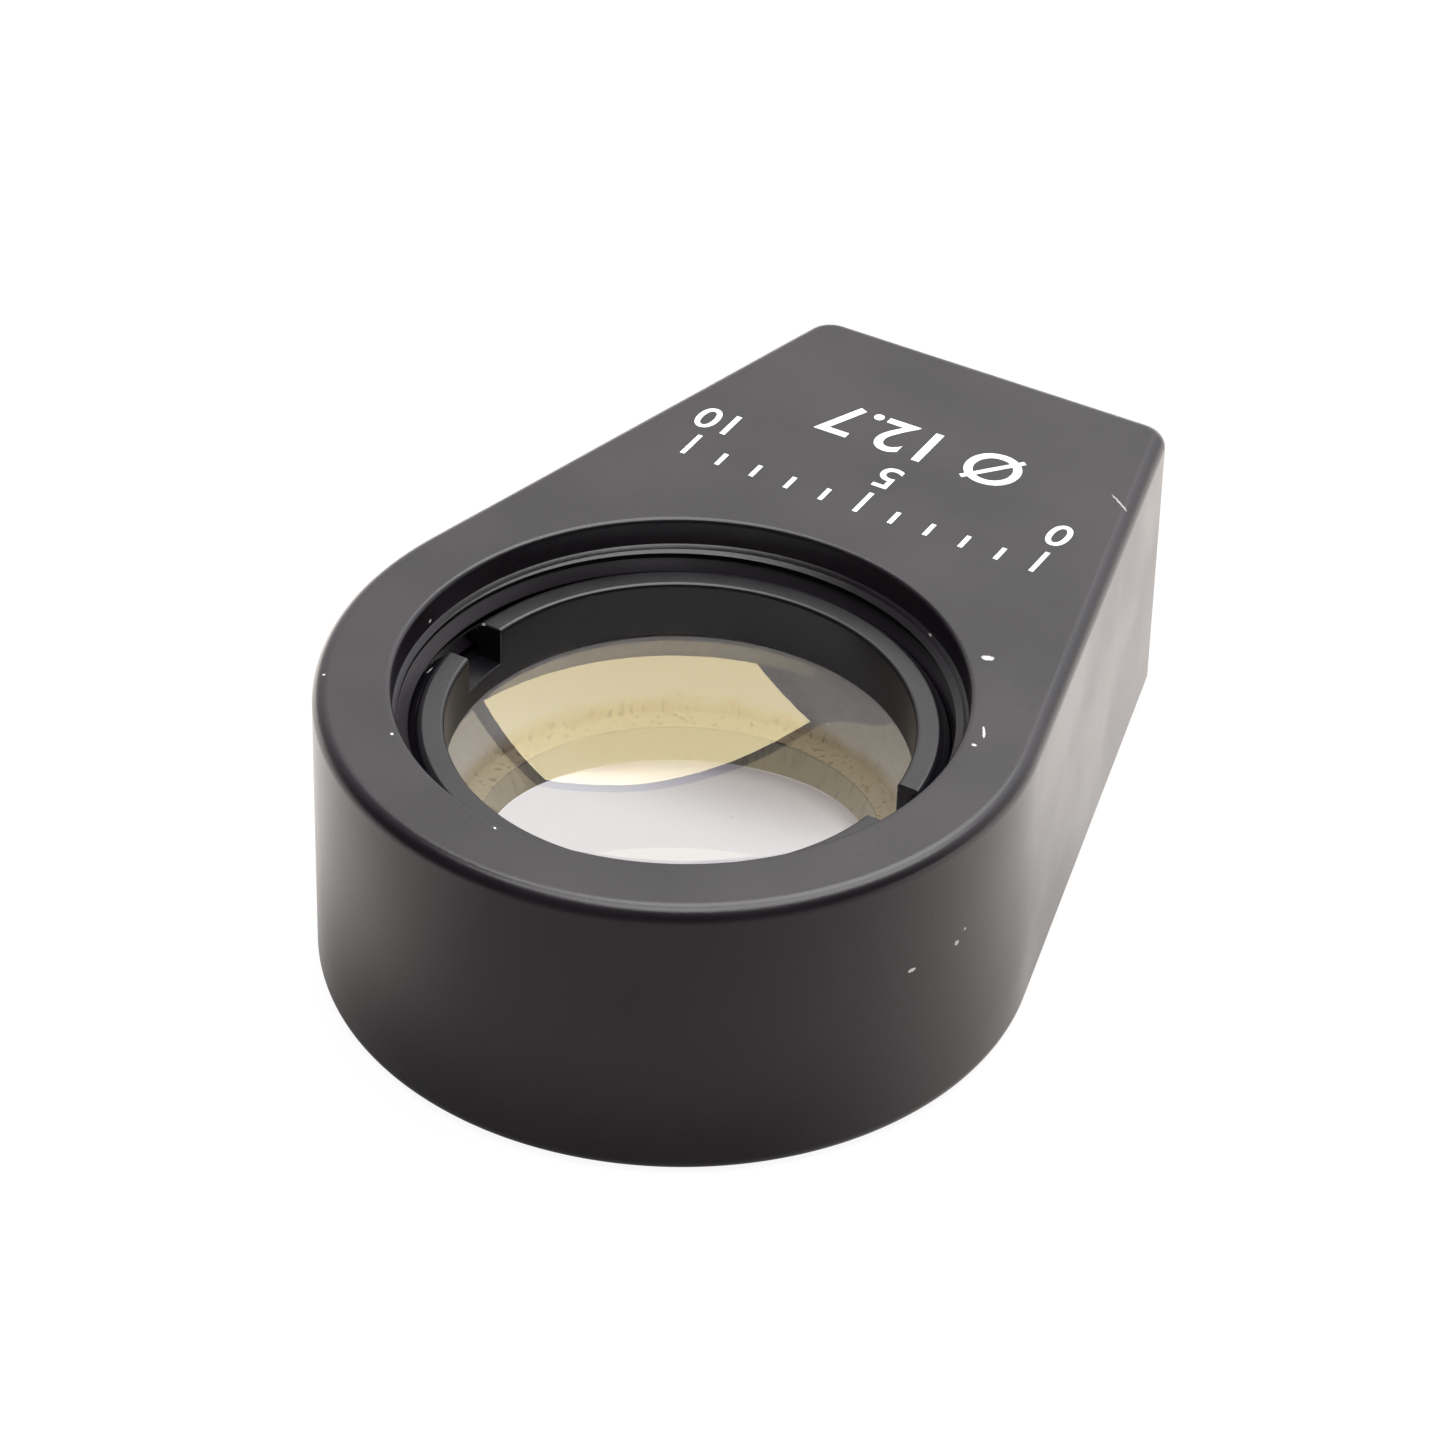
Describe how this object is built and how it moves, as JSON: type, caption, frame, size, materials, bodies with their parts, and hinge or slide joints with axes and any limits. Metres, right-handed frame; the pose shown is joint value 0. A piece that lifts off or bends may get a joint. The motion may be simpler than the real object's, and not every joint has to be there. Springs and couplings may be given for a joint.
{
  "type": "optical lens mount",
  "caption": "Fixed mount for a small round lens: a teardrop housing with a lens seat, a screwed retaining ring and a tapped hole for a post.",
  "frame": {"origin": "on the optical axis, in the plane of the rear face that the mount lies on", "axes": "+Z runs along the optical axis to the front, where the retaining ring is screwed in; +Y runs from the optical axis to the flat base with the tapped post hole; +X completes the right-handed set, across the housing"},
  "size_m": [0.0178, 0.0252, 0.0079],
  "materials": {
    "anodised_housing": "black anodised, lightly grained, with printed marks",
    "anodised_ring": "black anodised, turned",
    "lens_glass": "polished optical glass with ground edges"
  },
  "bodies": {
    "mount_body": {"housing": "anodised_housing", "lens": "lens_glass"},
    "ring": {"retaining_ring": "anodised_ring"}
  },
  "joints": [
    {"name": "ring_travel", "type": "slide", "parent": "mount_body", "child": "ring", "axis": [0, 0, 1], "range_m": [0, 0.00317]}
  ]
}
